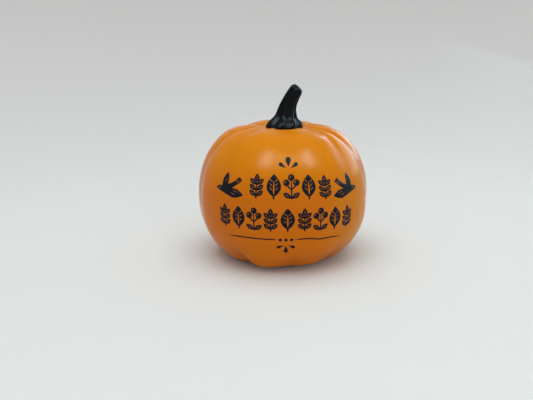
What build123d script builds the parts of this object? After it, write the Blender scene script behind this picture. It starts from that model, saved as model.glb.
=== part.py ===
from build123d import *
import math
import os

os.makedirs("parts", exist_ok=True)

# Ceramic pumpkin figure, millimetres. Z is up, the decorated side faces -Y, and the origin is on the
# standing surface under the middle of the body. Azimuths are in degrees: 0 is the front, + is towards +X.

# Felt pads under the foot
pad_radius = 5.0
pad_thickness = 1.0
pad_circle = 22.0
pad_count = 4

# Slip-cast body: each level is (height, radius over the lobes)
belly_height = 37.0
belly_radius = 51.4
body_levels = (
    (pad_thickness, 31.5),
    (3.2, 35.8),
    (6.5, 39.4),
    (11.5, 44.0),
    (19.0, 48.3),
    (28.0, 50.8),
    (belly_height, belly_radius),
    (46.0, 50.8),
    (55.0, 48.8),
    (62.5, 45.6),
    (69.0, 41.1),
    (74.0, 35.8),
    (77.2, 29.0),
    (78.8, 19.5),
)
# Grooves between the lobes: azimuth at the crown and at the foot, then depth at the crown, belly and foot
grooves = (
    (-72, -76, 1.5, 0.9, 1.2),
    (-41, -35, 0.4, 0.15, 1.8),
    (8, 8, 0.15, 0.15, 0.7),
    (49, 46, 0.6, 0.3, 1.8),
    (67, 94, 1.4, 0.9, 1.2),
    (100, 122, 1.4, 0.9, 1.4),
    (127, 148, 1.4, 0.9, 1.4),
    (181, 180, 1.5, 1.0, 1.5),
    (238, 232, 1.5, 1.0, 1.5),
)
# How much further each lobe reaches at the foot, and the height at which that has died out
foot_reach = (1.0, 3.2, 0.6, 0.4, 0.6, 0.3, 0.3, 0.5, 0.8)
foot_rise = 16.0
groove_sharpness = 2.2
points_per_lobe = 6
wall = 4.0
floor_radius = 28.0
vent_radius = 5.0
cut_length = 12.0

# Crown of the body, where the stem stands
crown_height = body_levels[-1][0]
seat_height = 77.9
seat_radius = 12.5
dish_radius = 18.0

# Stem: each section is (x, height, radius, depth of the hollows, lean in degrees)
glue = 0.3
stem_sections = (
    (0.85, seat_height + glue, 10.9, 0.8, 0),
    (1.0, 79.5, 10.6, 0.9, 0),
    (1.3, 80.7, 10.0, 0.95, 1),
    (1.7, 82.3, 8.6, 0.9, 3),
    (1.95, 84.2, 6.8, 0.75, 6),
    (2.3, 86.4, 5.95, 0.6, 9),
    (2.75, 89.4, 5.2, 0.5, 15),
    (3.9, 92.8, 4.6, 0.4, 23),
    (5.7, 96.4, 4.25, 0.35, 30),
    (7.2, 98.9, 4.1, 0.3, 34),
    (8.0, 100.1, 3.95, 0.22, 38),
    (8.5, 100.9, 3.7, 0.15, 40),
    (9.2, 101.8, 2.9, 0.1, 40),
    (9.6, 102.3, 1.6, 0.05, 40),
)
# Hollows between the stem's ribs: (azimuth, depth beside the others)
stem_hollows = ((-42, 1.5), (8, 0.7), (55, 1.7), (115, 1.0), (175, 1.0), (238, 1.0))
hollow_sharpness = 1.6
points_per_rib = 6
peg_radius = 4.0
peg_length = 4.6
glued_depth = 4.0
bed_radius = 9.0

# Printed decoration: ink lies on the glaze, and each figure is drawn on an upright plane facing outwards
ink = 0.2
ink_foot = 10.0
ink_top = 71.0
figure_depth = 20.0
figure_height = 13.0
twig_width = 0.9
upper_row = (-16.6, -5.6, 5.4, 16.4, 27.4)
upper_row_height = 52.8
upper_row_droop = 1.4
upper_row_start = 44.0
lower_row = (-38.6, -28.2, -17.8, -7.4, 3.0, 13.4, 23.8, 34.2, 44.6)
lower_row_height = 34.8
lower_row_droop = 1.9
lower_row_start = 46.0
left_bird_height = 51.6
right_bird_height = 50.4
side_start = 40.0
left_bird_azimuth = -36.0
right_bird_azimuth = 44.0
rule_height = 23.2
left_rule_azimuth = -21.0
right_rule_azimuth = 26.0
rule_reach = 13.4
rule_width = 0.75
top_petal_azimuth = 3.8
middle_azimuth = 2.0
dot_radius = 0.8
dot_pitch = 3.1
top_petal_height = 62.4
bottom_petal_height = 19.6


def outward(azimuth, reach):
    """The point at a distance from the axis."""
    angle = math.radians(azimuth)
    return Vector(reach * math.sin(angle), -reach * math.cos(angle), 0)


def groove_azimuth(index, level):
    """Azimuth of a groove at a height; an index past the last groove is one turn further."""
    crown, foot = grooves[index % len(grooves)][:2]
    rise = (level - pad_thickness) / (crown_height - pad_thickness)
    return foot + (crown - foot) * rise + 360 * (index // len(grooves))


def groove_depth(index, level):
    """Depth of a groove at a height, from its depths at the crown, the belly and the foot."""
    crown, belly, foot = grooves[index % len(grooves)][2:]
    if level > belly_height:
        return belly + (crown - belly) * ((level - belly_height) / (crown_height - belly_height)) ** 2
    return belly + (foot - belly) * ((belly_height - level) / (belly_height - pad_thickness)) ** 2


def around_body(level):
    """Azimuths of the points round the lobes at one height, and how far each lies inside the full radius."""
    spread = max(0, 1 - (level - pad_thickness) / foot_rise) ** 2
    points = []
    for lobe in range(len(grooves)):
        start = groove_azimuth(lobe, level)
        width = groove_azimuth(lobe + 1, level) - start
        for step in range(points_per_lobe):
            share = step / points_per_lobe
            near = ((1 + math.cos(2 * math.pi * share)) / 2) ** groove_sharpness
            nearest = lobe if share < 0.5 else lobe + 1
            reach = foot_reach[lobe] * spread * math.sin(math.pi * share) ** 2
            points.append((start + width * share, groove_depth(nearest, level) * near - reach))
    return points


def body_sections(proud):
    """The outline of the body at each of its levels, proud of the surface by a distance."""
    belly = [azimuth for azimuth, inset in around_body(belly_height)]
    knots = belly + [belly[0] + 360]
    sections = []
    for level, radius in body_levels:
        points = [outward(azimuth, radius - inset + proud) for azimuth, inset in around_body(level)]
        with BuildSketch(Plane.XY.offset(level)) as section:
            with BuildLine():
                add(Edge.make_spline(points, periodic=True, parameters=knots))
            make_face()
        sections.append(section.sketch)
    return sections


def stem_outline(radius, depth):
    """One section of the stem: a rounded rib between each two hollows."""
    points = []
    for rib in range(len(stem_hollows)):
        start, deep = stem_hollows[rib]
        end, next_deep = stem_hollows[(rib + 1) % len(stem_hollows)]
        width = (end - start) % 360
        for step in range(points_per_rib):
            share = step / points_per_rib
            near = ((1 + math.cos(2 * math.pi * share)) / 2) ** hollow_sharpness
            hollow = 1.6 * near * (deep if share < 0.5 else next_deep)
            points.append(outward(start + width * share, radius + depth * (0.4 - hollow)))
    return Edge.make_spline(points, periodic=True, parameters=list(range(len(points) + 1)))


def cavity_profile():
    """The body's profile moved in by the wall, from the floor of the hollow to its roof."""
    inner = []
    for below, here, above in zip(body_levels, body_levels[1:], body_levels[2:]):
        rise = above[0] - below[0]
        run = above[1] - below[1]
        slope = math.hypot(rise, run)
        deepest = max(groove_depth(groove, here[0]) for groove in range(len(grooves)))
        reach = here[1] - deepest - wall * rise / slope
        height = here[0] + wall * run / slope
        if height > pad_thickness + wall + 1:
            inner.append((reach, height))
    return inner


def print_plane(azimuth, height):
    """A plane that stands on the axis and faces outwards, so that a figure wraps round the body."""
    return Plane(origin=(0, 0, height), x_dir=outward(azimuth + 90, 1), z_dir=outward(azimuth, 1))


def along(start, length, angle, side=0):
    """The point at a distance from a start, in a direction turned left from upright, moved to its side."""
    turn = math.radians(angle)
    x = start[0] - length * math.sin(turn) + side * math.cos(turn)
    y = start[1] + length * math.cos(turn) + side * math.sin(turn)
    return (x, y)


def leaf(start, length, width, angle, mode=Mode.ADD):
    """A leaf pointed at both ends."""
    tip = along(start, length, angle)
    with BuildLine() as edge:
        ThreePointArc(start, along(start, length / 2, angle, width / 2), tip)
        ThreePointArc(tip, along(start, length / 2, angle, -width / 2), start)
    make_face(edge.edges(), mode=mode)


def petal(start, length, width, angle):
    """A drop with its point at the start and a round end."""
    radius = width / 2
    reach = length - radius
    half_angle = math.degrees(math.asin(radius / reach))
    flank = math.sqrt(reach**2 - radius**2)
    with Locations(along(start, reach, angle)):
        Circle(radius)
    with BuildLine() as edge:
        Polyline(
            start,
            along(start, flank, angle + half_angle),
            along(start, flank, angle - half_angle),
            start,
        )
    make_face(edge.edges())


def sprig():
    """An upright twig with three pairs of leaves and one at its tip."""
    with Locations((0, -1.2)):
        Rectangle(twig_width, figure_height - 2.4)
    for height in (-5.4, -2.4, 0.6):
        for side in (-1, 1):
            leaf((0, height), 5.0, 2.3, 50 * side)
    leaf((0, 2.2), figure_height / 2 - 2.2, 2.6, 0)


def broad_leaf():
    """A broad leaf on a short stalk, with its midrib left bare."""
    with Locations((0, 1.2 - figure_height / 2)):
        Rectangle(twig_width, 2.4)
    leaf((0, 1.4 - figure_height / 2), figure_height - 1.4, 7.6, 0)
    leaf((0, 2.6 - figure_height / 2), figure_height - 5.4, 1.0, 0, Mode.SUBTRACT)


def berries():
    """Three berries on a forked stalk with two leaves at its foot."""
    with Locations((0, -1.2)):
        Rectangle(twig_width, figure_height - 2.4)
    with Locations((0, 4.7), (-2.6, 2.1), (2.6, 2.1)):
        Circle(1.75)
    for side in (-1, 1):
        leaf((0, -1.6), 4.4, 1.2, 42 * side)
        leaf((0, -6.2), 5.2, 2.5, 56 * side)


def bird(facing):
    """A bird in flight with one wing raised, its beak towards -x, or +x with facing = -1."""
    body = ((-9.8, -2.4), (-7.2, -0.8), (-5.2, -0.6))
    raised_wing = ((-5.2, -0.6), (-4.6, 3.2), (-2.4, 6.8), (-1.0, 4.2), (-1.2, 0.6))
    tail_top = ((-1.2, 0.6), (2.6, 2.2), (5.6, 5.2))
    tail_under = ((8.0, 3.4), (5.0, 0.8), (1.8, -1.2))
    lower_wing = ((1.8, -1.2), (6.0, -1.8), (9.6, -4.4))
    belly = ((9.6, -4.4), (4.2, -6.3), (-2.0, -4.9), (-6.6, -3.6))
    with BuildLine() as edge:
        for run in (body, raised_wing[:3], raised_wing[2:], tail_top, tail_under, lower_wing, belly):
            Spline(*[(x * facing, y) for x, y in run])
        Line((5.6 * facing, 5.2), (8.0 * facing, 3.4))
        Line((-6.6 * facing, -3.6), (-9.8 * facing, -2.4))
    make_face(edge.edges())


def left_bird():
    bird(1)


def right_bird():
    bird(-1)


def left_rule():
    """A thin line that swells towards the middle of the decoration."""
    with BuildLine() as edge:
        Spline((-rule_reach, -0.3), (-4.5, 0.2 + rule_width / 2), (rule_reach - 0.6, 0.2 + rule_width / 2))
        Line((rule_reach - 0.6, 0.2 + rule_width / 2), (rule_reach, 0.2))
        Line((rule_reach, 0.2), (rule_reach - 0.6, 0.2 - rule_width / 2))
        Spline((rule_reach - 0.6, 0.2 - rule_width / 2), (-4.5, 0.2 - rule_width / 2), (-rule_reach, -0.3))
    make_face(edge.edges())


def right_rule():
    """The same line the other way round, with a slight wave."""
    wave = ((0.6 - rule_reach, 0.0), (-5.6, 0.1), (-0.6, -0.8), (6.4, -0.8))
    over = [(x, y + rule_width / 2) for x, y in wave]
    under = [(x, y - rule_width / 2) for x, y in wave]
    with BuildLine() as edge:
        Spline(*over, (rule_reach, -1.6))
        Spline((rule_reach, -1.6), *reversed(under))
        Polyline(under[0], (-rule_reach, 0.0), over[0])
    make_face(edge.edges())


def dots():
    """Three dots in a row."""
    with Locations((-dot_pitch, 0), (0, 0), (dot_pitch, 0)):
        Circle(dot_radius)


def top_petals():
    """A fan of three petals that opens upwards."""
    petal((0, 0.4), 4.8, 2.9, 0)
    petal((-1.3, -0.1), 4.3, 2.0, 58)
    petal((1.3, -0.1), 4.3, 2.0, -58)


def bottom_petals():
    """A fan of three petals that hangs down."""
    petal((0, -0.1), 4.8, 2.4, 180)
    petal((-1.3, 0.1), 4.0, 2.0, 113)
    petal((1.3, 0.1), 4.0, 2.0, -113)


def print_node(name, figures):
    """Writes one node of ink; each figure is (drawing, azimuth, height, where its plane stands)."""
    with BuildPart() as ink_print:
        for drawing, azimuth, height, start in figures:
            with BuildSketch(print_plane(azimuth, height).offset(start)):
                drawing()
            extrude(amount=figure_depth)
        add(ink_layer.part, mode=Mode.INTERSECT)
    ink_print.part.label = name
    export_step(ink_print.part, f"parts/{name}.step")


with BuildPart() as body_shell:
    loft(sections=body_sections(0))
    # hollow inside, from the casting
    inner = cavity_profile()
    with BuildSketch(Plane.XZ):
        with BuildLine():
            Polyline((0, pad_thickness + wall), (floor_radius, pad_thickness + wall), inner[0])
            Spline(*inner)
            Line(inner[-1], (0, inner[-1][1]))
            Line((0, inner[-1][1]), (0, pad_thickness + wall))
        make_face()
    revolve(axis=Axis.Z, mode=Mode.SUBTRACT)
    # shallow dish and level seat under the stem
    with BuildSketch(Plane.XZ):
        with BuildLine():
            Polyline((0, seat_height), (seat_radius, seat_height), (dish_radius, crown_height + 0.1))
            Polyline((dish_radius, crown_height + 0.1), (0, crown_height + 0.1), (0, seat_height))
        make_face()
    revolve(axis=Axis.Z, mode=Mode.SUBTRACT)
    # socket for the stem's peg, and the pouring hole in the base
    with Locations((0, 0, seat_height)):
        Cylinder(peg_radius + glue, cut_length, mode=Mode.SUBTRACT)
    with Locations((0, 0, pad_thickness)):
        Cylinder(vent_radius, cut_length, mode=Mode.SUBTRACT)
body_shell.part.label = "body_shell"
export_step(body_shell.part, "parts/body_shell.step")

with BuildPart() as stem:
    for x, level, radius, depth, lean in stem_sections:
        tilt = math.radians(lean)
        upright = (math.sin(tilt), 0, math.cos(tilt))
        across = (math.cos(tilt), 0, -math.sin(tilt))
        with BuildSketch(Plane(origin=(x, 0, level), x_dir=across, z_dir=upright)):
            with BuildLine():
                add(stem_outline(radius, depth))
            make_face()
    loft()
    with Locations((0, 0, seat_height + glue)):
        Cylinder(peg_radius, peg_length, align=(Align.CENTER, Align.CENTER, Align.MAX))
stem.part.label = "stem"
export_step(stem.part, "parts/stem.step")

with BuildPart() as stem_adhesive:
    with BuildSketch(Plane.XY.offset(seat_height)):
        Circle(bed_radius)
    extrude(amount=glue)
    with BuildSketch(Plane.XY.offset(seat_height)):
        Circle(peg_radius + glue)
    extrude(amount=-glued_depth)
    with Locations((0, 0, seat_height + glue)):
        Cylinder(peg_radius, cut_length, mode=Mode.SUBTRACT)
stem_adhesive.part.label = "stem_adhesive"
export_step(stem_adhesive.part, "parts/stem_adhesive.step")

for number in range(pad_count):
    with BuildPart() as base_pad:
        with Locations(outward(45 + number * 360 / pad_count, pad_circle)):
            Cylinder(pad_radius, pad_thickness, align=(Align.CENTER, Align.CENTER, Align.MIN))
    base_pad.part.label = f"base_pad_{number + 1}"
    export_step(base_pad.part, f"parts/base_pad_{number + 1}.step")

# the layer of ink all round the body, from which the figures are cut
with BuildPart() as ink_layer:
    loft(sections=body_sections(ink))
    with BuildSketch(Plane.XY.offset(ink_foot)):
        Circle(belly_radius + figure_depth)
    extrude(amount=ink_top - ink_foot, mode=Mode.INTERSECT)
    loft(sections=body_sections(0), mode=Mode.SUBTRACT)

upper_figures = (sprig, broad_leaf, berries, broad_leaf, sprig)
upper = []
for drawing, azimuth in zip(upper_figures, upper_row):
    droop = upper_row_droop * (max(0, azimuth) / upper_row[-1]) ** 2
    upper.append((drawing, azimuth, upper_row_height - droop, upper_row_start))
print_node("print_upper_row", upper)

lower_figures = (sprig, broad_leaf, berries, sprig, broad_leaf, sprig, berries, broad_leaf, sprig)
lower = []
for drawing, azimuth in zip(lower_figures, lower_row):
    droop = lower_row_droop * (max(0, azimuth) / lower_row[-1]) ** 2
    lower.append((drawing, azimuth, lower_row_height - droop, lower_row_start))
print_node("print_lower_row", lower)

print_node("print_left_bird", [(left_bird, left_bird_azimuth, left_bird_height, side_start)])
print_node("print_right_bird", [(right_bird, right_bird_azimuth, right_bird_height, side_start)])
print_node("print_left_rule", [(left_rule, left_rule_azimuth, rule_height, side_start)])
print_node("print_right_rule", [(right_rule, right_rule_azimuth, rule_height, side_start)])
print_node("print_dots", [(dots, middle_azimuth, rule_height, side_start)])
print_node("print_top_petals", [(top_petals, top_petal_azimuth, top_petal_height, side_start - 2)])
print_node("print_bottom_petals", [(bottom_petals, middle_azimuth, bottom_petal_height, side_start)])
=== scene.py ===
import bpy
import bmesh
import math
import numpy as np
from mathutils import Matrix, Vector, noise
from mathutils.bvhtree import BVHTree
from mathutils.geometry import delaunay_2d_cdt


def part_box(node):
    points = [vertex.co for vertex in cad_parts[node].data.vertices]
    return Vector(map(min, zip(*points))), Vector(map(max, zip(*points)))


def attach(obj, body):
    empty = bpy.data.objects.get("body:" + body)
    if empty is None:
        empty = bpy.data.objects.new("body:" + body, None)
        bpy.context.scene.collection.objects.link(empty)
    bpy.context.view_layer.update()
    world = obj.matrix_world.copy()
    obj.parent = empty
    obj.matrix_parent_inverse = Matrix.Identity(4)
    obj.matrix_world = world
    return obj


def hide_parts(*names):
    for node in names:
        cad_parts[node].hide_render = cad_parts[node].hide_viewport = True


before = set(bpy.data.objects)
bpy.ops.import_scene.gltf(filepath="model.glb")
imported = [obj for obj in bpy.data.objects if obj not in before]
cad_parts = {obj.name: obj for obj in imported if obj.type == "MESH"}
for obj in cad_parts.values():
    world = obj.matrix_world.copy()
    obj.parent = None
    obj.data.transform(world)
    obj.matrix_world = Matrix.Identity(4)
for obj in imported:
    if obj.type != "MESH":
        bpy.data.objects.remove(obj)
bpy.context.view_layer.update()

mm = 0.001
nodeBox = {name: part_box(name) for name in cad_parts}


# small tools that every piece uses

def linearColour(hexCode):
    # sRGB hex to the linear colour that the shaders take
    parts = [int(hexCode[i:i + 2], 16) / 255 for i in (0, 2, 4)]
    lin = [c / 12.92 if c <= 0.04045 else ((c + 0.055) / 1.055) ** 2.4 for c in parts]
    return (*lin, 1.0)


def addNode(tree, kind, settings, links=None):
    # settings name a socket or a property of the node; links name a socket and what feeds it
    node = tree.nodes.new(kind)
    for name, value in settings.items():
        if isinstance(name, int) or name in node.inputs:
            node.inputs[name].default_value = value
        else:
            setattr(node, name, value)
    for name, source in (links or {}).items():
        tree.links.new(source, node.inputs[name])
    return node


def newMaterial(name):
    material = bpy.data.materials.new(name)
    material.use_nodes = True
    material.node_tree.nodes.clear()
    return material, material.node_tree


def outward(azimuth, reach, height=0.0):
    # a point in mm: azimuth 0 is the printed front, + is towards the side that the stem leans to
    angle = math.radians(azimuth)
    return Vector((reach * math.sin(angle), -reach * math.cos(angle), height))


def smoothShare(value, start, end):
    # 0 at start, 1 at end, eased at both
    share = min(1.0, max(0.0, (value - start) / (end - start)))
    return share * share * (3 - 2 * share)


def smoothThrough(rows, steps):
    # natural cubic curve through rows of numbers, spaced by the distance between their first two columns
    rows = np.array(rows, float)
    gap = np.hypot(*np.diff(rows[:, :2], axis=0).T)
    at = np.concatenate([[0], np.cumsum(gap)])
    count = len(rows)
    matrix = np.eye(count)
    right = np.zeros_like(rows)
    for i in range(1, count - 1):
        matrix[i, i - 1:i + 2] = (gap[i - 1], 2 * (gap[i - 1] + gap[i]), gap[i])
        right[i] = 6 * ((rows[i + 1] - rows[i]) / gap[i] - (rows[i] - rows[i - 1]) / gap[i - 1])
    bend = np.linalg.solve(matrix, right)
    out = []
    for t in np.linspace(0, at[-1], steps):
        i = min(int(np.searchsorted(at, t, side="right")) - 1, count - 2)
        a = (at[i + 1] - t) / gap[i]
        b = 1 - a
        curve = a * rows[i] + b * rows[i + 1]
        curve = curve + ((a ** 3 - a) * bend[i] + (b ** 3 - b) * bend[i + 1]) * gap[i] ** 2 / 6
        out.append(curve)
    return out


def pieceFromMesh(name, points, faces, material, replaced):
    # points in mm; makes the object, turns its faces outwards and ties it to the frame
    mesh = bpy.data.meshes.new(name)
    mesh.from_pydata([Vector(p) * mm for p in points], [], faces)
    shape = bmesh.new()
    shape.from_mesh(mesh)
    bmesh.ops.recalc_face_normals(shape, faces=shape.faces)
    shape.to_mesh(mesh)
    shape.free()
    mesh.polygons.foreach_set("use_smooth", [True] * len(mesh.polygons))
    mesh.materials.append(material)
    piece = bpy.data.objects.new(name, mesh)
    bpy.context.scene.collection.objects.link(piece)
    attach(piece, "root")
    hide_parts(*replaced)
    return piece


def ringFaces(ringCount, columns, joinEnds):
    # quads between rings of points; joinEnds also joins the last ring to the first
    faces = []
    for ring in range(ringCount if joinEnds else ringCount - 1):
        here = ring * columns
        there = (ring + 1) % ringCount * columns
        for column in range(columns):
            nextColumn = (column + 1) % columns
            faces.append((here + column, here + nextColumn, there + nextColumn, there + column))
    return faces


# camera

cameraSetup = {
    "distance": 380.0,  # mm from the point it looks at
    "elevation": 13.0,
    "lookAtHeight": 44.0,
    "lens": 41.84,
    "shift": (-0.0306, -0.0336),
}


def makeCamera(setup):
    tilt = math.radians(setup["elevation"])
    back = Vector((0, -math.cos(tilt), math.sin(tilt)))
    target = Vector((0, 0, setup["lookAtHeight"]))
    data = bpy.data.cameras.new("productCamera")
    data.lens = setup["lens"]
    data.shift_x, data.shift_y = setup["shift"]
    data.clip_start = 0.01
    camera = bpy.data.objects.new("productCamera", data)
    bpy.context.scene.collection.objects.link(camera)
    camera.location = (target + back * setup["distance"]) * mm
    camera.rotation_euler = (-back).to_track_quat("-Z", "Y").to_euler()
    bpy.context.scene.camera = camera


makeCamera(cameraSetup)
print("camera placed")


# pumpkin body: slip-cast earthenware, hollow, glazed outside, bare under the foot

pumpkin = {
    # height and radius over the lobes: the levels of the casting, mm
    "levels": [
        (1.0, 31.5), (3.2, 35.8), (6.5, 39.4), (11.5, 44.0), (19.0, 48.3), (28.0, 50.8), (37.0, 51.4),
        (46.0, 50.8), (55.0, 48.8), (62.5, 45.6), (69.0, 41.1), (74.0, 35.8), (77.2, 29.0), (78.8, 19.5),
    ],
    # each groove: azimuth at the crown and at the foot, then its depth at the crown, belly and foot, mm
    "grooves": [
        (-72, -76, 1.7, 0.9, 1.2), (-41, -35, 0.4, 0.15, 1.8), (8, 8, 0.15, 0.15, 0.7),
        (49, 46, 0.6, 0.3, 1.8), (67, 94, 1.5, 0.9, 1.2), (100, 122, 1.5, 0.9, 1.4),
        (127, 148, 1.5, 0.9, 1.4), (181, 180, 1.7, 1.0, 1.5), (238, 232, 1.7, 1.0, 1.5),
    ],
    # the heights between which the depths at the crown and at the foot take over from the belly's
    "crownBlend": (54, 74),
    "footBlend": (18, 5),
    "sinkBlend": (52, 70),  # from here up the grooves sink down instead of straight in
    "swellBlend": (66, 76),
    "reachBlend": (17, 3),
    # how far each lobe swells at the crown and reaches out at the foot, mm, in the order of the grooves
    "crownSwell": [0.2, 0.4, 0.5, 0.1, 0.3, 0.2, 0.7, 1.2, 0.2],
    "footReach": [1.0, 3.2, 0.6, 0.4, 0.6, 0.3, 0.3, 0.5, 0.8],
    "lobeLean": 0.8,  # under 1, the fullest part of a lobe lies before its middle
    "creaseWidth": (2.4, 5.5, 3.2),  # at the crown, belly and foot, mm
    "creaseShare": 0.6,  # how much of a groove is its crease, the rest is the broad dip between two lobes
    "grooveSharpness": 1.5,
    "columnsPerLobe": 38,
    # the dish under the stem: radius, height, share of the groove depth
    "dish": [(17.6, 78.72, 0.9), (15.4, 78.35, 0.6), (13.2, 78.0, 0.25)],
    "seatRadius": 11.4,
    "seatHeight": 77.9,
    "wall": 4.0,
    "grooveRoom": 1.0,  # left for the grooves outside the wall; the deepest ones take some of the wall too
    "drainRadius": 5.0,
    "holeRound": 0.5,
    "socketRadius": 4.3,
    "footRings": 24,
    "outerSteps": 190,
    "dishSteps": 22,
    "innerSteps": 60,
    "unevenness": 0.16,  # how far the hand-finished mould strays, mm
    "unevennessSize": 17.0,  # from one swelling to the next, mm
}


def castingProfile(body):
    # a closed loop, the outside first and then the hollow; each point is
    # (radius, height, share of the groove depth, share of the unevenness)
    levels = body["levels"]
    foot, crown = levels[0], levels[-1]
    wall, seat = body["wall"], body["seatHeight"]
    drain, socket = body["drainRadius"], body["socketRadius"]
    soft = body["holeRound"]
    loop = [(drain, foot[0] + wall, 0, 0), (drain, foot[0] + soft, 0, 0)]
    loop += [(drain + 0.3 * soft, foot[0] + 0.3 * soft, 0, 0), (drain + soft, foot[0], 0, 0)]
    for step in range(1, body["footRings"]):
        share = step / body["footRings"]
        loop.append((drain + soft + (foot[1] - drain - soft) * share, foot[0], share ** 4, 0))
    for r, z in smoothThrough([(r, z) for z, r in levels], body["outerSteps"]):
        loop.append((r, z, 1, min(1.0, (z - foot[0]) / 4) * min(1.0, (crown[0] + 0.4 - z) / 3)))
    # the crown rolls over into the shallow dish under the stem
    dish = [(crown[1], crown[0], 1), *body["dish"], (body["seatRadius"], seat, 0)]
    for r, z, share in smoothThrough(dish, body["dishSteps"])[1:]:
        loop.append((r, z, share, 0.1))
    for r in (9.5, 7.5, 5.8, socket + 0.4):
        loop.append((r, seat, 0, 0))
    loop += [(socket + 0.1, seat - 0.1, 0, 0), (socket, seat - 0.4, 0, 0)]
    # the hollow: the outside moved in by the wall
    inner = []
    for below, here, above in zip(levels, levels[1:], levels[2:]):
        up, out = above[0] - below[0], above[1] - below[1]
        slope = math.hypot(up, out)
        inner.append((here[1] - body["grooveRoom"] - wall * up / slope, here[0] + wall * out / slope))
    inner = [p for p in inner if p[1] > foot[0] + wall + 1]
    roof = inner[-1][1]
    loop += [(socket, roof + 0.4, 0, 0), (socket + 0.3, roof, 0, 0)]
    for r in (8, 13, 18, 22.5):
        loop.append((r, roof, 0, 0))
    for r, z in smoothThrough(inner[::-1], body["innerSteps"]):
        loop.append((r, z, 0, 0))
    for r in (28, 22, 16, 10, drain + 0.4):
        loop.append((r, foot[0] + wall, 0, 0))
    return loop


def blendByHeight(values, z, body):
    # a value given at the crown, belly and foot, blended by height
    crown, belly, foot = values
    upper = (crown - belly) * smoothShare(z, *body["crownBlend"])
    lower = (foot - belly) * smoothShare(z, *body["footBlend"])
    return belly + upper + lower


def makeBody(body, material):
    loop = castingProfile(body)
    grooves, perLobe = body["grooves"], body["columnsPerLobe"]
    low, high = body["levels"][0][0], body["levels"][-1][0]
    points, grooveDarkenings = [], []
    for ring, (r, z, cutShare, rough) in enumerate(loop):
        rise = min(1.0, max(0.0, (z - low) / (high - low)))
        starts = [foot + (crown - foot) * rise for crown, foot, *depths in grooves]
        cuts = [blendByHeight(depths, z, body) * cutShare for crown, foot, *depths in grooves]
        starts.append(starts[0] + 360)
        cuts.append(cuts[0])
        crease = min(blendByHeight(body["creaseWidth"], z, body), r * 0.1)
        # the grooves sink straight in at the belly, and down into the crown
        before, after = loop[ring - 1], loop[(ring + 1) % len(loop)]
        run, climb = after[0] - before[0], after[1] - before[1]
        upper = smoothShare(z, *body["sinkBlend"]) * (cutShare > 0)
        sideways = 1 + upper * (climb / math.hypot(run, climb) - 1)
        upwards = -upper * run / math.hypot(run, climb)
        crowned = smoothShare(z, *body["swellBlend"]) * cutShare
        footed = smoothShare(z, *body["reachBlend"]) * cutShare
        for lobe in range(len(grooves)):
            width = starts[lobe + 1] - starts[lobe]
            for step in range(perLobe):
                share = step / perLobe
                azimuth = starts[lobe] + width * share
                gap = min(share, 1 - share) * math.radians(width) * r
                narrow = math.exp(-(gap / crease) ** 2)
                broad = ((1 + math.cos(2 * math.pi * share)) / 2) ** body["grooveSharpness"]
                near = body["creaseShare"] * narrow + (1 - body["creaseShare"]) * broad
                cut = cuts[lobe] if share < 0.5 else cuts[lobe + 1]
                place = outward(azimuth, r, z)
                sway = noise.noise(place / body["unevennessSize"]) * body["unevenness"] * rough
                swell = math.sin(math.pi * share ** body["lobeLean"]) ** 2
                shift = sway - cut * near + body["crownSwell"][lobe] * crowned * swell
                reach = body["footReach"][lobe] * footed * swell
                points.append(outward(azimuth, r + shift * sideways + reach, z + shift * upwards))
                # how much darker the colour is made in the grooves, by how deep each groove is
                grooveDarkenings.append(near * min(1.0, cut))
    faces = ringFaces(len(loop), len(grooves) * perLobe, True)
    piece = pieceFromMesh("pumpkinBody", points, faces, material, ["body_shell"])
    grooveDark = piece.data.attributes.new("grooveDarkening", "FLOAT", "POINT")
    grooveDark.data.foreach_set("value", grooveDarkenings)
    return piece


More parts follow.
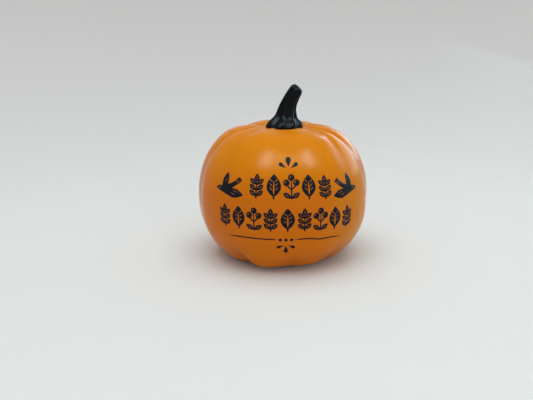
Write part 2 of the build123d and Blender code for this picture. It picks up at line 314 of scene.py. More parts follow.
def satinGlazedEarthenware():
    # Earthenware, slip-cast, sprayed orange and satin glazed: one even warm colour with a soft sheen, with
    # painted light on the shoulders and one side.
    # The colour is a little darker in the grooves, and the foot is wiped bare.
    material, tree = newMaterial("satinGlazedEarthenware")
    place = addNode(tree, "ShaderNodeTexCoord", {}).outputs["Object"]
    spray = addNode(tree, "ShaderNodeTexNoise", {"Scale": 1 / (14 * mm), "Detail": 3.0}, {"Vector": place})
    grooveDark = addNode(tree, "ShaderNodeAttribute", {"attribute_name": "grooveDarkening"})
    # painted light from above: the colour is a shade yellower and fuller on the shoulders, where the light
    # falls
    split = addNode(tree, "ShaderNodeSeparateXYZ", {}, {0: place})
    shoulder = addNode(
        tree, "ShaderNodeMapRange",
        {"interpolation_type": "SMOOTHSTEP", "From Min": 42 * mm, "From Max": 70 * mm},
        {"Value": split.outputs[2]})
    evenly = addNode(
        tree, "ShaderNodeMix",
        {"data_type": "RGBA", 6: linearColour("CA6B08"), 7: linearColour("CF6F0A")}, {0: spray.outputs[0]})
    # and painted light: the side that the stem leans to is a shade yellower, standing in for a pale sheen
    # of light on that side
    side = addNode(
        tree, "ShaderNodeMapRange",
        {"interpolation_type": "SMOOTHSTEP", "From Min": 14 * mm, "From Max": 46 * mm},
        {"Value": split.outputs[0]})
    lower = addNode(
        tree, "ShaderNodeMix",
        {"data_type": "RGBA", 7: linearColour("D07F12")}, {0: side.outputs[0], 6: evenly.outputs[2]})
    upper = addNode(
        tree, "ShaderNodeMix",
        {"data_type": "RGBA", 6: linearColour("D68009"), 7: linearColour("DB860D")}, {0: spray.outputs[0]})
    # painted light: the lighter shoulder colour above, the lower colour below
    sprayAndPaintedLight = addNode(
        tree, "ShaderNodeMix", {"data_type": "RGBA"},
        {0: shoulder.outputs[0], 6: lower.outputs[2], 7: upper.outputs[2]})
    # darker in the grooves, by how deep each groove is
    grooveDarkened = addNode(
        tree, "ShaderNodeMath", {"operation": "MULTIPLY", 1: 0.35}, {0: grooveDark.outputs["Fac"]})
    body = addNode(
        tree, "ShaderNodeMix",
        {"data_type": "RGBA", 7: linearColour("B45808")}, {0: grooveDarkened.outputs[0], 6: sprayAndPaintedLight.outputs[2]})
    # specks of the clay, up to 0.4 mm across and 2.4 mm apart: coarser than real, so that they show
    specks = addNode(tree, "ShaderNodeTexVoronoi", {"Scale": 1 / (2.4 * mm)}, {"Vector": place})
    dot = addNode(
        tree, "ShaderNodeMapRange",
        {"From Min": 0.03, "From Max": 0.08, "To Min": 0.14, "To Max": 0.0},
        {"Value": specks.outputs["Distance"]})
    specked = addNode(
        tree, "ShaderNodeMix",
        {"data_type": "RGBA", 7: linearColour("AC560A")}, {0: dot.outputs[0], 6: body.outputs[2]})
    # the foot is wiped bare up to just over its flat, 1 mm above the ground, with a ragged edge
    ragged = addNode(tree, "ShaderNodeTexNoise", {"Scale": 1 / (3 * mm), "Detail": 4.0}, {"Vector": place})
    edge = addNode(
        tree, "ShaderNodeMath",
        {"operation": "MULTIPLY_ADD", 1: 0.1 * mm, 2: 0.98 * mm}, {0: ragged.outputs[0]})
    wiped = addNode(
        tree, "ShaderNodeMath", {"operation": "LESS_THAN"}, {0: split.outputs[2], 1: edge.outputs[0]})
    colour = addNode(
        tree, "ShaderNodeMix",
        {"data_type": "RGBA", 7: linearColour("D9CBB4")}, {0: wiped.outputs[0], 6: specked.outputs[2]})
    sheen = addNode(tree, "ShaderNodeTexNoise", {"Scale": 1 / (6 * mm), "Detail": 5.0}, {"Vector": place})
    rough = addNode(
        tree, "ShaderNodeMapRange", {"To Min": 0.19, "To Max": 0.24}, {"Value": sheen.outputs[0]})
    bareRough = addNode(
        tree, "ShaderNodeMix", {3: 0.9}, {0: wiped.outputs[0], 2: rough.outputs[0]})
    # orange-peel of a sprayed glaze, ripples about 1.5 mm apart
    peel = addNode(
        tree, "ShaderNodeTexNoise", {"Scale": 1 / (1.5 * mm), "Detail": 2.0}, {"Vector": place})
    bump = addNode(
        tree, "ShaderNodeBump", {"Strength": 0.12, "Distance": 0.05 * mm}, {"Height": peel.outputs[0]})
    # a satin glaze scatters most of its gloss, so the clear reflection is kept well under that of glass
    shader = addNode(
        tree, "ShaderNodeBsdfPrincipled",
        {"IOR": 1.5, "Specular IOR Level": 0.09},
        {"Base Color": colour.outputs[2], "Roughness": bareRough.outputs[0], "Normal": bump.outputs[0]})
    addNode(tree, "ShaderNodeOutputMaterial", {}, {"Surface": shader.outputs[0]})
    return material


bodyPiece = makeBody(pumpkin, satinGlazedEarthenware())
print("pumpkin body made:", len(bodyPiece.data.vertices), "points")


# stem: its own casting, with six ribs that flare into a skirt, and a peg into the crown

stemShape = {
    # the sections of the casting: x, height, radius, depth of the hollows, lean, in mm and degrees
    "sections": [
        (0.85, 78.7, 10.9, 0.9, 0), (1.0, 79.5, 10.6, 1.0, 0), (1.3, 80.7, 10.0, 1.15, 1),
        (1.7, 82.3, 8.6, 1.1, 3), (1.95, 84.2, 6.8, 0.85, 6), (2.3, 86.4, 5.95, 0.7, 9),
        (2.75, 89.4, 5.2, 0.55, 15), (3.9, 92.8, 4.6, 0.45, 23), (5.7, 96.4, 4.25, 0.4, 30),
        (7.2, 98.9, 4.1, 0.3, 34), (8.0, 100.1, 3.95, 0.22, 38), (8.35, 100.6, 3.75, 0.15, 40),
    ],
    # the rounded tip: share of the last radius, and how far past the last section, mm
    "tip": [(0.96, 0.45), (0.89, 0.9), (0.77, 1.35), (0.6, 1.7), (0.38, 1.9), (0.12, 1.95)],
    # the hollow between each two ribs: azimuth at the skirt, and how deep it is beside the others
    "hollows": [(-42, 1.5), (8, 0.7), (55, 1.7), (115, 1.0), (175, 1.0), (238, 1.0)],
    "hollowSharpness": 1.6,
    "twist": 12.0,  # how far the ribs turn from skirt to tip, degrees
    "frontFlat": 0.4,  # how much shorter the front toes are than the side ones, mm
    "frontAzimuth": 8,
    "skirtRadii": (5.5, 9.5),  # the toes grow out between these radii
    "columnsPerRib": 26,
    "steps": 130,
    "pegRadius": 4.0,
    "pegLength": 4.6,
    "pegRound": 0.4,
    "underHeight": 78.2,
    "grain": 0.14,  # unevenness of the cast surface, mm
}


def makeStem(stem, material):
    firstAzimuth, firstDepth = stem["hollows"][0]
    hollows = [*stem["hollows"], (firstAzimuth + 360, firstDepth)]
    perRib = stem["columnsPerRib"]
    columns = len(stem["hollows"]) * perRib
    under, first = stem["underHeight"], stem["sections"][0]
    rings = []  # x, height, radius, depth of the hollows, lean, share of the way up
    pegRadius, pegLength, pegRound = stem["pegRadius"], stem["pegLength"], stem["pegRound"]
    fillet = pegRadius + pegRound / 2
    peg = [(0.4, 0.0), (pegRadius - pegRound, 0.0), (pegRadius, pegRound)]
    peg += [(pegRadius, pegLength - pegRound), (fillet, pegLength)]
    for r, z in peg:
        rings.append((0.0, under + z - pegLength, r, 0.0, 0, 0))
    for r in (5.5, 7.5, 9.3, first[2] - 0.35):
        part = (r - fillet) / (first[2] - fillet)
        rings.append((first[0] * part, under - 0.2 * part ** 3, r, first[3] * part ** 2, 0, 0))
    rings.append((first[0], under - 0.1, first[2] - 0.05, first[3], 0, 0))
    rows = smoothThrough([(z, r, x, d, lean) for x, z, r, d, lean in stem["sections"]], stem["steps"])
    for i, (z, r, x, d, lean) in enumerate(rows):
        rings.append((x, z, r, d, lean, i / (len(rows) - 1)))
    x, z, r, d, lean, share = rings[-1]
    tilt = math.radians(lean)
    for shrink, lift in stem["tip"]:
        tipX, tipZ = x + lift * math.sin(tilt), z + lift * math.cos(tilt)
        rings.append((tipX, tipZ, r * shrink, d * shrink, lean, 1))
    points = []
    for x, z, r, d, lean, share in rings:
        tilt = math.radians(lean)
        spread = smoothShare(r, *stem["skirtRadii"])
        grained = stem["grain"] * (r > 2) * (share > 0)
        for column in range(columns):
            rib, step = divmod(column, perRib)
            width = hollows[rib + 1][0] - hollows[rib][0]
            azimuth = hollows[rib][0] + width * step / perRib
            deep = hollows[rib][1] if step < perRib / 2 else hollows[rib + 1][1]
            flat = outward(azimuth + stem["twist"] * share, 1.0)
            sunk = ((1 + math.cos(2 * math.pi * step / perRib)) / 2) ** stem["hollowSharpness"]
            facing = max(0.0, math.cos(math.radians(azimuth - stem["frontAzimuth"]))) ** 3
            grain = noise.noise(Vector((flat.x * 7, flat.y * 7, share * 2.5))) * grained
            # the ribs stand out by 0.4 of the depth and the hollows sink by 1.2 of it
            reach = r + d * (0.4 - 1.6 * sunk * deep) - facing * spread * stem["frontFlat"] + grain
            points.append((
                x + reach * flat.x * math.cos(tilt), reach * flat.y, z - reach * flat.x * math.sin(tilt)))
    faces = ringFaces(len(rings), columns, False)
    faces.append(tuple(range(columns)))
    last = (len(rings) - 1) * columns
    faces.append(tuple(range(last + columns - 1, last - 1, -1)))
    return pieceFromMesh("stemCasting", points, faces, material, ["stem"])


def blackSemiGlossGlaze():
    # Earthenware with a brushed black semi-gloss glaze: near black, soft streaks of light down the ribs.
    material, tree = newMaterial("blackSemiGlossGlaze")
    place = addNode(tree, "ShaderNodeTexCoord", {}).outputs["Object"]
    # brush marks 1.2 mm apart and 7 mm long
    stretch = addNode(
        tree, "ShaderNodeMapping",
        {"Scale": (1 / (1.2 * mm), 1 / (1.2 * mm), 1 / (7 * mm))}, {"Vector": place})
    brushing = addNode(
        tree, "ShaderNodeTexNoise", {"Scale": 1.0, "Detail": 4.0}, {"Vector": stretch.outputs[0]})
    colour = addNode(
        tree, "ShaderNodeMix",
        {"data_type": "RGBA", 6: linearColour("050709"), 7: linearColour("0B0E12")},
        {0: brushing.outputs[0]})
    rough = addNode(
        tree, "ShaderNodeMapRange", {"To Min": 0.26, "To Max": 0.36}, {"Value": brushing.outputs[0]})
    bump = addNode(
        tree, "ShaderNodeBump", {"Strength": 0.35, "Distance": 0.2 * mm}, {"Height": brushing.outputs[0]})
    shader = addNode(
        tree, "ShaderNodeBsdfPrincipled", {"IOR": 1.5, "Specular IOR Level": 0.11},
        {"Base Color": colour.outputs[2], "Roughness": rough.outputs[0], "Normal": bump.outputs[0]})
    addNode(tree, "ShaderNodeOutputMaterial", {}, {"Surface": shader.outputs[0]})
    return material


stemPiece = makeStem(stemShape, blackSemiGlossGlaze())
print("stem made:", len(stemPiece.data.vertices), "points")


# printed decoration: flat shapes in mm, joined, then wrapped on to the glaze

printing = {
    # lengths in mm, places round the body as azimuths
    "inkProud": 0.06,  # how far the ink stands out of the glaze
    "inkSunk": 0.08,  # and reaches into it, so that no gap shows
    "grid": 0.9,  # how finely a figure follows the curve of the body
    "figureHeight": 13.0,
    "twig": 0.9,
    "castFrom": 80.0,  # a figure is laid on from outside the body, towards its axis
    "edgeWander": 0.035,  # how far a fired edge strays from its drawing
    "upperRow": [-16.6, -5.6, 5.4, 16.4, 27.4],
    "lowerRow": [-38.6, -28.2, -17.8, -7.4, 3.0, 13.4, 23.8, 34.2, 44.6],
    "upperHeight": 52.8,
    "upperDroop": 1.4,  # how far the row sinks towards its right end
    "lowerHeight": 34.8,
    "lowerDroop": 1.9,
    "leftBirdHeight": 51.6,
    "rightBirdHeight": 50.4,
    "leftBird": -36.0,
    "rightBird": 44.0,
    "ruleHeight": 23.2,
    "leftRule": -20.5,
    "rightRule": 24.6,
    "ruleReach": 14.0,
    "ruleWidth": 0.75,
    "ruleSteps": 40,
    "middle": 2.0,
    "topMiddle": 3.8,
    "dotPitch": 3.1,
    "dotRadius": 0.9,
    "topPetals": 62.4,
    "bottomPetals": 19.6,
}


def along(start, length, angle, side=0.0):
    # the point at a distance from a start, the angle counted to the left from upright
    turn = math.radians(angle)
    return (start[0] - length * math.sin(turn) + side * math.cos(turn),
            start[1] + length * math.cos(turn) + side * math.sin(turn))


def leafShape(start, length, width, angle, belly=0.5):
    # pointed at both ends, widest at belly; half the outline goes up, the other half comes back
    right, left = [], []
    for step in range(1, 16):
        t = step / 16
        bulge = math.sin(math.pi * t ** (math.log(0.5) / math.log(belly))) ** 0.9
        right.append(along(start, length * t, angle, width / 2 * bulge))
        left.append(along(start, length * t, angle, -width / 2 * bulge))
    return [start, *right, along(start, length, angle), *left[::-1]]


def petalShape(start, length, width, angle):
    # a drop: pointed at the start, round at the far end
    radius = width / 2
    reach = length - radius
    half = math.degrees(math.asin(radius / reach))
    shape = [start]
    for step in range(19):
        turn = angle + (90 + half) * (1 - step / 9)
        centre = along(start, reach, angle)
        shape.append(along(centre, radius, turn))
    return shape


def roundShape(centre, radius):
    return [(centre[0] + radius * math.cos(a), centre[1] + radius * math.sin(a))
            for a in (2 * math.pi * i / 28 for i in range(28))]


def barShape(low, high, width):
    # an upright bar that tapers a little towards its top
    return [(-width / 2, low), (width / 2, low), (width * 0.32, high), (-width * 0.32, high)]


def sprigFigure(spec):
    # twig with three pairs of leaves and one at the tip, each leaf with a bare vein
    half = spec["figureHeight"] / 2
    solid = [barShape(-half, half - 4.2, spec["twig"])]
    bare = []
    for height in (-5.4, -2.4, 0.6):
        for side in (-1, 1):
            solid.append(leafShape((0, height), 5.0, 2.5, 50 * side, 0.55))
            bare.append(leafShape(along((0, height), 1.5, 50 * side), 2.4, 0.26, 50 * side))
    solid.append(leafShape((0, 2.2), half - 2.2, 2.8, 0, 0.45))
    bare.append(leafShape((0, 3.2), 2.3, 0.28, 0))
    return solid, bare


def broadLeafFigure(spec):
    # one broad leaf on a stalk, its midrib and side veins left bare
    half = spec["figureHeight"] / 2
    solid = [barShape(-half, 2.4 - half, spec["twig"] * 1.2)]
    solid.append(leafShape((0, 1.2 - half), 2 * half - 1.2, 7.8, 0, 0.45))
    bare = [leafShape((0, 2.4 - half), 2 * half - 5.4, 0.8, 0, 0.35)]
    for height in (-2.4, -0.2, 2.0):
        for side in (-1, 1):
            bare.append(leafShape(along((0, height), 0.7, 48 * side), 2.6, 0.36, 48 * side))
    return solid, bare


def berryFigure(spec):
    # three berries, each with a bare glint, over two leaves
    half = spec["figureHeight"] / 2
    solid = [barShape(-half, 4.2, spec["twig"])]
    bare = []
    for centre in ((0, 4.7), (-2.7, 2.1), (2.7, 2.1)):
        solid.append(roundShape(centre, 1.75))
        bare.append(leafShape((centre[0] - 0.9, centre[1] - 0.2), 1.3, 0.42, -28))
    for side in (-1, 1):
        solid.append(leafShape((0, -1.8), 4.6, 0.9, 42 * side))
        solid.append(leafShape((0, -6.2), 5.4, 2.7, 56 * side, 0.55))
        bare.append(leafShape(along((0, -6.2), 1.6, 56 * side), 2.6, 0.28, 56 * side))
    return solid, bare


def birdFigure(facing):
    # a small bird in flight: head and beak, one wing raised, a fanned tail and the other wing swept down
    outline = []
    for run, steps in (
        (((-9.8, -2.4), (-8.6, -1.3), (-7.2, -0.8), (-5.2, -0.6)), 8),
        (((-5.2, -0.6), (-5.0, 3.0), (-2.4, 6.8)), 12),
        (((-2.4, 6.8), (-1.0, 4.2), (-1.2, 0.6)), 10),
        (((-1.2, 0.6), (2.6, 2.2), (5.6, 5.2)), 10),
        (((5.6, 5.2), (6.0, 4.5), (6.9, 4.7)), 4),
        (((6.9, 4.7), (7.1, 3.8), (8.0, 3.4)), 4),
        (((8.0, 3.4), (5.0, 0.8), (1.8, -1.2)), 10),
        (((1.8, -1.2), (6.0, -1.8), (9.6, -4.4)), 10),
        (((9.6, -4.4), (4.2, -6.3), (-2.0, -4.9), (-6.6, -3.6)), 18),
    ):
        outline += [(x * facing, y) for x, y in smoothThrough(run, steps)[:-1]]
    outline.append((-6.6 * facing, -3.6))
    bare = [roundShape((-6.9 * facing, -1.9), 0.36)]
    # feathers: slits from the edge of the tail and the wings inwards
    for tip, length, angle in (((5.9, 4.3), 3.4, 132), ((7.0, 3.5), 3.6, 126), ((6.6, -3.4), 4.2, 74),
                               ((4.9, -4.6), 4.0, 78), ((-2.0, 4.6), 2.9, 172), ((-3.3, 3.4), 2.4, 178)):
        slit = leafShape(tip, length, 0.24, angle)
        bare.append([(x * facing, y) for x, y in slit])
    return [outline], bare


def ruleFigure(spec, wave, taper):
    # a long thin brush line through (x, y) points, thinner towards its tapered end
    rows = smoothThrough(wave, spec["ruleSteps"])
    over, under = [], []
    for i, (x, y) in enumerate(rows):
        share = i / (len(rows) - 1)
        thick = share if taper < 0 else 1 - share
        half = spec["ruleWidth"] / 2 * min(1.0, 0.3 + 2.4 * thick ** 0.8)
        half *= min(1.0, 0.3 + 8 * (1 - thick))
        over.append((x, y + half))
        under.append((x, y - half))
    return [over + under[::-1]], []


def petalFan(centre, sides):
    # a middle petal of (length, width, angle), and two of (length, width, angle, height of their points)
    length, width, angle = centre
    solid = [petalShape((0, 0.4 if angle == 0 else -0.1), length, width, angle)]
    reach, across, lean, drop = sides
    for side in (-1, 1):
        solid.append(petalShape((-1.3 * side, drop), reach, across, lean * side))
    return solid, []


def wrapFigure(figure, azimuth, height, skin, spec, points, faces):
    # joins the flat shapes, cuts the bare ones out, lays the result on the body and gives it a thickness
    solid, bare = figure
    flat, loops = [], []
    for shape in solid + bare:
        if sum(a[0] * b[1] - b[0] * a[1] for a, b in zip(shape, shape[1:] + shape[:1])) < 0:
            shape = shape[::-1]
        loops.append(list(range(len(flat), len(flat) + len(shape))))
        flat += [Vector(p) for p in shape]
    lowX, highX = min(p.x for p in flat), max(p.x for p in flat)
    lowY, highY = min(p.y for p in flat), max(p.y for p in flat)
    for i in range(1, int((highX - lowX) / spec["grid"]) + 1):
        for j in range(1, int((highY - lowY) / spec["grid"]) + 1):
            flat.append(Vector((lowX + i * spec["grid"], lowY + j * spec["grid"])))
    cut = delaunay_2d_cdt(flat, [], loops, 1, 1e-5, True)
    corners, triangles, owners = cut[0], cut[2], cut[5]
    kept = [t for t, own in zip(triangles, owners) if own and max(own) < len(solid)]
    used = sorted({corner for t in kept for corner in t})
    place = {corner: i for i, corner in enumerate(used)}
    across, out = outward(azimuth + 90, 1.0), outward(azimuth, 1.0)
    start = len(points)
    tops, bottoms = [], []
    for corner in used:
        x, y = corners[corner]
        wander = noise.noise(Vector((x * 1.7, y * 1.7, azimuth))) * spec["edgeWander"]
        aim = across * (x + wander) + Vector((0, 0, height + y + wander)) + out * spec["castFrom"]
        hit, normal, index, distance = skin.ray_cast(aim, -out)
        tops.append(hit + normal * spec["inkProud"])
        bottoms.append(hit - normal * spec["inkSunk"])
    points += tops + bottoms
    rim = {}
    for t in kept:
        a, b, c = (place[corner] for corner in t)
        faces.append((start + a, start + b, start + c))
        faces.append((start + len(used) + c, start + len(used) + b, start + len(used) + a))
        for edge in ((a, b), (b, c), (c, a)):
            rim[edge] = True
    for a, b in rim:
        if (b, a) not in rim:
            faces.append((start + b, start + a, start + len(used) + a, start + len(used) + b))


def printPiece(name, figures, skin, spec, material, node):
    points, faces = [], []
    for figure, azimuth, height in figures:
        wrapFigure(figure, azimuth, height, skin, spec, points, faces)
    return pieceFromMesh(name, points, faces, material, [node])


def satinScreenInk():
    # Blue-black ceramic ink, screen printed and fired: flat and satin, a shade thinner in places.
    material, tree = newMaterial("satinScreenInk")
    place = addNode(tree, "ShaderNodeTexCoord", {}).outputs["Object"]
    cover = addNode(tree, "ShaderNodeTexNoise", {"Scale": 1 / (2.2 * mm), "Detail": 5.0}, {"Vector": place})
    colour = addNode(
        tree, "ShaderNodeMix",
        {"data_type": "RGBA", 6: linearColour("080C12"), 7: linearColour("10161E")}, {0: cover.outputs[0]})
    mesh = addNode(tree, "ShaderNodeTexNoise", {"Scale": 1 / (0.35 * mm), "Detail": 2.0}, {"Vector": place})
    rough = addNode(
        tree, "ShaderNodeMapRange", {"To Min": 0.38, "To Max": 0.55}, {"Value": mesh.outputs[0]})
    bump = addNode(
        tree, "ShaderNodeBump", {"Strength": 0.2, "Distance": 0.03 * mm}, {"Height": mesh.outputs[0]})
    shader = addNode(
        tree, "ShaderNodeBsdfPrincipled", {"IOR": 1.5, "Specular IOR Level": 0.12},
        {"Base Color": colour.outputs[2], "Roughness": rough.outputs[0], "Normal": bump.outputs[0]})
    addNode(tree, "ShaderNodeOutputMaterial", {}, {"Surface": shader.outputs[0]})
    return material


def makePrints(spec, body, material):
    mesh = body.data
    skin = BVHTree.FromPolygons(
        [v.co / mm for v in mesh.vertices], [tuple(p.vertices) for p in mesh.polygons])
    sprig, leaf, berry = sprigFigure(spec), broadLeafFigure(spec), berryFigure(spec)
    upper = []
    for f, az in zip((sprig, leaf, berry, leaf, sprig), spec["upperRow"]):
        droop = spec["upperDroop"] * (max(0, az) / spec["upperRow"][-1]) ** 2
        upper.append((f, az, spec["upperHeight"] - droop))
    lower = []
    for f, az in zip((sprig, leaf, berry, sprig, leaf, sprig, berry, leaf, sprig), spec["lowerRow"]):
        droop = spec["lowerDroop"] * (max(0, az) / spec["lowerRow"][-1]) ** 2
        lower.append((f, az, spec["lowerHeight"] - droop))
    reach, dot = spec["ruleReach"], spec["dotPitch"]
    middle, ruleHeight = spec["middle"], spec["ruleHeight"]
    leftWave = [(-reach, -0.3), (-4.5, 0.2), (4.5, 0.25), (reach, 0.2)]
    rightWave = [(-reach, 0.0), (-5.6, 0.1), (-0.6, -0.8), (6.4, -0.8), (reach, -1.6)]
    dots = [roundShape((x, 0), spec["dotRadius"]) for x in (-dot, 0, dot)]
    leftBird, rightBird = birdFigure(1), birdFigure(-1)
    leftRule, rightRule = ruleFigure(spec, leftWave, -1), ruleFigure(spec, rightWave, 1)
    topFan = petalFan((4.8, 2.9, 0), (4.3, 2.0, 58, -0.1))
    bottomFan = petalFan((4.8, 2.4, 180), (4.0, 2.0, 113, 0.1))
    groups = [
        ("printUpperRow", upper, "print_upper_row"),
        ("printLowerRow", lower, "print_lower_row"),
        ("printLeftBird", [(leftBird, spec["leftBird"], spec["leftBirdHeight"])], "print_left_bird"),
        ("printRightBird", [(rightBird, spec["rightBird"], spec["rightBirdHeight"])], "print_right_bird"),
        ("printLeftRule", [(leftRule, spec["leftRule"], ruleHeight)], "print_left_rule"),
        ("printRightRule", [(rightRule, spec["rightRule"], ruleHeight)], "print_right_rule"),
        ("printDots", [((dots, []), middle, ruleHeight)], "print_dots"),
        ("printTopPetals", [(topFan, spec["topMiddle"], spec["topPetals"])], "print_top_petals"),
        ("printBottomPetals", [(bottomFan, middle, spec["bottomPetals"])], "print_bottom_petals"),
    ]
    for name, figures, node in groups:
        printPiece(name, figures, skin, spec, material, node)


makePrints(printing, bodyPiece, satinScreenInk())
print("decoration printed")


# felt pads under the foot

feltPad = {
    "columns": 64,
    "bulge": 0.12,  # the cut edge of a pressed pad swells a little, mm
    "fuzz": 0.06,
}


def makePads(spec, material):
    for name in sorted(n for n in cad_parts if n.startswith("base_pad_")):
        low, high = (corner / mm for corner in nodeBox[name])
        centre = (low + high) / 2
        radius, thick = (high.x - low.x) / 2, high.z - low.z
        rings = [(0.3, 0.0), (radius * 0.5, 0.0), (radius * 0.94, 0.0), (radius, thick * 0.2)]
        rings += [(radius + spec["bulge"], thick * 0.5), (radius, thick * 0.85), (radius * 0.95, thick)]
        rings += [(radius * 0.5, thick), (0.3, thick)]
        points = []
        for r, z in rings:
            for column in range(spec["columns"]):
                flat = outward(360 * column / spec["columns"], 1.0)
                fuzz = noise.noise(flat * 9 + centre) * spec["fuzz"] * (r > radius * 0.9)
                points.append((centre.x + flat.x * (r + fuzz), centre.y + flat.y * (r + fuzz), low.z + z))
        faces = ringFaces(len(rings), spec["columns"], False)
        last = (len(rings) - 1) * spec["columns"]
        faces.append(tuple(range(spec["columns"])))
        faces.append(tuple(range(last + spec["columns"] - 1, last - 1, -1)))
        pieceFromMesh("feltPad" + name[-1], points, faces, material, [name])


def pressedWoolFelt():
    # Wool felt, pressed and die-cut: dull brown-black, fibres about 0.3 mm apart matted every way.
    material, tree = newMaterial("pressedWoolFelt")
    place = addNode(tree, "ShaderNodeTexCoord", {}).outputs["Object"]
    fibre = addNode(tree, "ShaderNodeTexNoise", {"Scale": 1 / (0.3 * mm), "Detail": 6.0}, {"Vector": place})
    colour = addNode(
        tree, "ShaderNodeMix",
        {"data_type": "RGBA", 6: linearColour("2E2723"), 7: linearColour("5A4E45")}, {0: fibre.outputs[0]})
    bump = addNode(
        tree, "ShaderNodeBump", {"Strength": 0.8, "Distance": 0.2 * mm}, {"Height": fibre.outputs[0]})
    shader = addNode(
        tree, "ShaderNodeBsdfPrincipled", {"Roughness": 0.95, "Sheen Weight": 0.4, "Sheen Roughness": 0.5},
        {"Base Color": colour.outputs[2], "Normal": bump.outputs[0]})
    addNode(tree, "ShaderNodeOutputMaterial", {}, {"Surface": shader.outputs[0]})
    return material


makePads(feltPad, pressedWoolFelt())
print("felt pads made")


# glue between the stem and the crown: the casting's own node, with its finish

def curedEpoxyBead():
    # Epoxy, squeezed out and cured: amber and glassy, with fine bubbles.
    material, tree = newMaterial("curedEpoxyBead")
    place = addNode(tree, "ShaderNodeTexCoord", {}).outputs["Object"]
    bubbles = addNode(tree, "ShaderNodeTexVoronoi", {"Scale": 1 / (0.8 * mm)}, {"Vector": place})
    colour = addNode(
        tree, "ShaderNodeMix",
        {"data_type": "RGBA", 6: linearColour("C9B48A"), 7: linearColour("B89C6A")},
        {0: bubbles.outputs["Distance"]})
    bump = addNode(
        tree, "ShaderNodeBump",
        {"Strength": 0.4, "Distance": 0.1 * mm}, {"Height": bubbles.outputs["Distance"]})
    shader = addNode(
        tree, "ShaderNodeBsdfPrincipled", {"IOR": 1.55, "Roughness": 0.2},
        {"Base Color": colour.outputs[2], "Normal": bump.outputs[0]})
    addNode(tree, "ShaderNodeOutputMaterial", {}, {"Surface": shader.outputs[0]})
    return material


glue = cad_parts["stem_adhesive"]
glue.data.materials.clear()
glue.data.materials.append(curedEpoxyBead())
print("glue bead finished")


# stage: a pale round cove, so that every side of the figure sees the same soft studio

cove = {
    # lengths in mm
    "floorRadius": 260.0,
    "coveRadius": 600.0,
    "wallHeight": 900.0,
    "columns": 96,
    "bendSteps": 24,
    "colour": "E1E5E4",
    "mottleColour": "E4E7E6",
    "fadeColour": "D2D2D1",  # the light falls off up the sweep, which this colour helps
    "fadeHeight": 190.0,
    "frontShadeColour": "A6A6A4",  # painted shade: the paper is painted this darker grey towards the front, standing in for less light from that side
    "frontStart": -300.0,
    "frontEnd": -860.0,
}


def mattePaper(spec):
    # Seamless background paper: matt, very slightly mottled, with painted shade up the sweep and towards
    # the front.
    material, tree = newMaterial("seamlessPaper")
    place = addNode(tree, "ShaderNodeTexCoord", {}).outputs["Object"]
    pulp = addNode(tree, "ShaderNodeTexNoise", {"Scale": 1 / (60 * mm), "Detail": 3.0}, {"Vector": place})
    shade = addNode(
        tree, "ShaderNodeMix",
        {"data_type": "RGBA", 6: linearColour(spec["colour"]), 7: linearColour(spec["mottleColour"])},
        {0: pulp.outputs[0]})
    split = addNode(tree, "ShaderNodeSeparateXYZ", {}, {0: place})
    rise = addNode(
        tree, "ShaderNodeMapRange", {"From Max": spec["fadeHeight"] * mm}, {"Value": split.outputs[2]})
    ease = addNode(tree, "ShaderNodeMath", {"operation": "POWER", 1: 0.5}, {0: rise.outputs[0]})
    faded = addNode(
        tree, "ShaderNodeMix",
        {"data_type": "RGBA", 7: linearColour(spec["fadeColour"])},
        {0: ease.outputs[0], 6: shade.outputs[2]})
    # painted shade: the paper turns darker grey towards the front
    front = addNode(
        tree, "ShaderNodeMapRange",
        {"interpolation_type": "SMOOTHSTEP",
         "From Min": spec["frontStart"] * mm, "From Max": spec["frontEnd"] * mm},
        {"Value": split.outputs[1]})
    frontShaded = addNode(
        tree, "ShaderNodeMix",
        {"data_type": "RGBA", 7: linearColour(spec["frontShadeColour"])},
        {0: front.outputs[0], 6: faded.outputs[2]})
    shader = addNode(
        tree, "ShaderNodeBsdfPrincipled", {"Roughness": 0.9, "Specular IOR Level": 0.2},
        {"Base Color": frontShaded.outputs[2]})
    addNode(tree, "ShaderNodeOutputMaterial", {}, {"Surface": shader.outputs[0]})
    return material


def makeCove(spec):
    floorRadius, bend = spec["floorRadius"], spec["coveRadius"]
    profile = [(floorRadius * share, 0.0) for share in (0.002, 0.1, 0.25, 0.5, 0.75, 1.0)]
    for step in range(1, spec["bendSteps"] + 1):
        angle = math.radians(90 * step / spec["bendSteps"])
        profile.append((floorRadius + bend * math.sin(angle), bend * (1 - math.cos(angle))))
    profile.append((floorRadius + bend, spec["wallHeight"]))
    points = [outward(360 * column / spec["columns"], r, z) * mm
              for r, z in profile for column in range(spec["columns"])]
    faces = ringFaces(len(profile), spec["columns"], False)
    faces.append(tuple(range(spec["columns"])))
    mesh = bpy.data.meshes.new("paperCove")
    mesh.from_pydata(points, [], faces)
    mesh.polygons.foreach_set("use_smooth", [True] * len(mesh.polygons))
    mesh.materials.append(mattePaper(spec))
    piece = bpy.data.objects.new("paperCove", mesh)
    bpy.context.scene.collection.objects.link(piece)


makeCove(cove)
print("cove made")


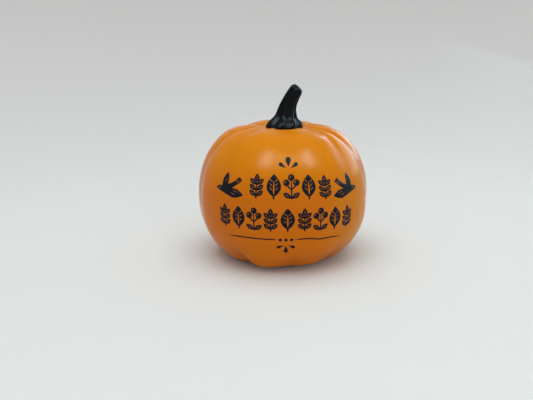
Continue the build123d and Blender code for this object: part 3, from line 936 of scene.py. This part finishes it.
# lights: a broad box overhead and a low fill in front light the scene; the others only lay gloss on it

studio = {
    # azimuth, elevation, distance in mm, width and height in mm, watts
    "softboxes": {
        "leftSoftbox": (-34, 56, 500, 105, 190, 0.95),
        "rightSoftbox": (48, 52, 500, 105, 190, 1.0),
        "ceilingGlow": (7, 55, 500, 620, 180, 1.9),
        "rightRimStrip": (130, 18, 560, 560, 420, 3.2),
        "overheadSoftbox": (0, 83, 880, 1000, 1000, 5.62),
        "frontFill": (20, 20, 800, 520, 130, 0.92),
    },
    # left and right make the two soft highlights, the glow joins them, the strip lights the right rim
    "onlyGloss": ["leftSoftbox", "rightSoftbox", "ceilingGlow", "rightRimStrip"],
    "onlyFill": ["overheadSoftbox", "frontFill"],
    "glossColour": "D2F4FF",  # cool daylight tubes
    "skyColour": "FFFFFF",
    "skyStrength": 0.44,
    "aimHeight": 45.0,
}


def makeLights(spec):
    aimAt = Vector((0, 0, spec["aimHeight"]))
    for name, (azimuth, elevation, distance, width, height, watts) in spec["softboxes"].items():
        tilt = math.radians(elevation)
        away = outward(azimuth, math.cos(tilt), math.sin(tilt))
        data = bpy.data.lights.new(name, "AREA")
        data.shape = "RECTANGLE"
        data.size, data.size_y = width * mm, height * mm
        data.energy = watts
        if name in spec["onlyGloss"]:
            data.color = linearColour(spec["glossColour"])[:3]
        lamp = bpy.data.objects.new(name, data)
        bpy.context.scene.collection.objects.link(lamp)
        lamp.location = (aimAt + away * distance) * mm
        lamp.rotation_euler = away.to_track_quat("Z", "Y").to_euler()
        lamp.visible_camera = False
        lamp.visible_diffuse = name not in spec["onlyGloss"]
        lamp.visible_glossy = name not in spec["onlyFill"]
    world = bpy.data.worlds.new("studioSky")
    world.use_nodes = True
    background = world.node_tree.nodes["Background"]
    background.inputs["Color"].default_value = linearColour(spec["skyColour"])
    background.inputs["Strength"].default_value = spec["skyStrength"]
    bpy.context.scene.world = world


makeLights(studio)
bpy.context.scene.view_settings.view_transform = "Standard"
print("studio lit")
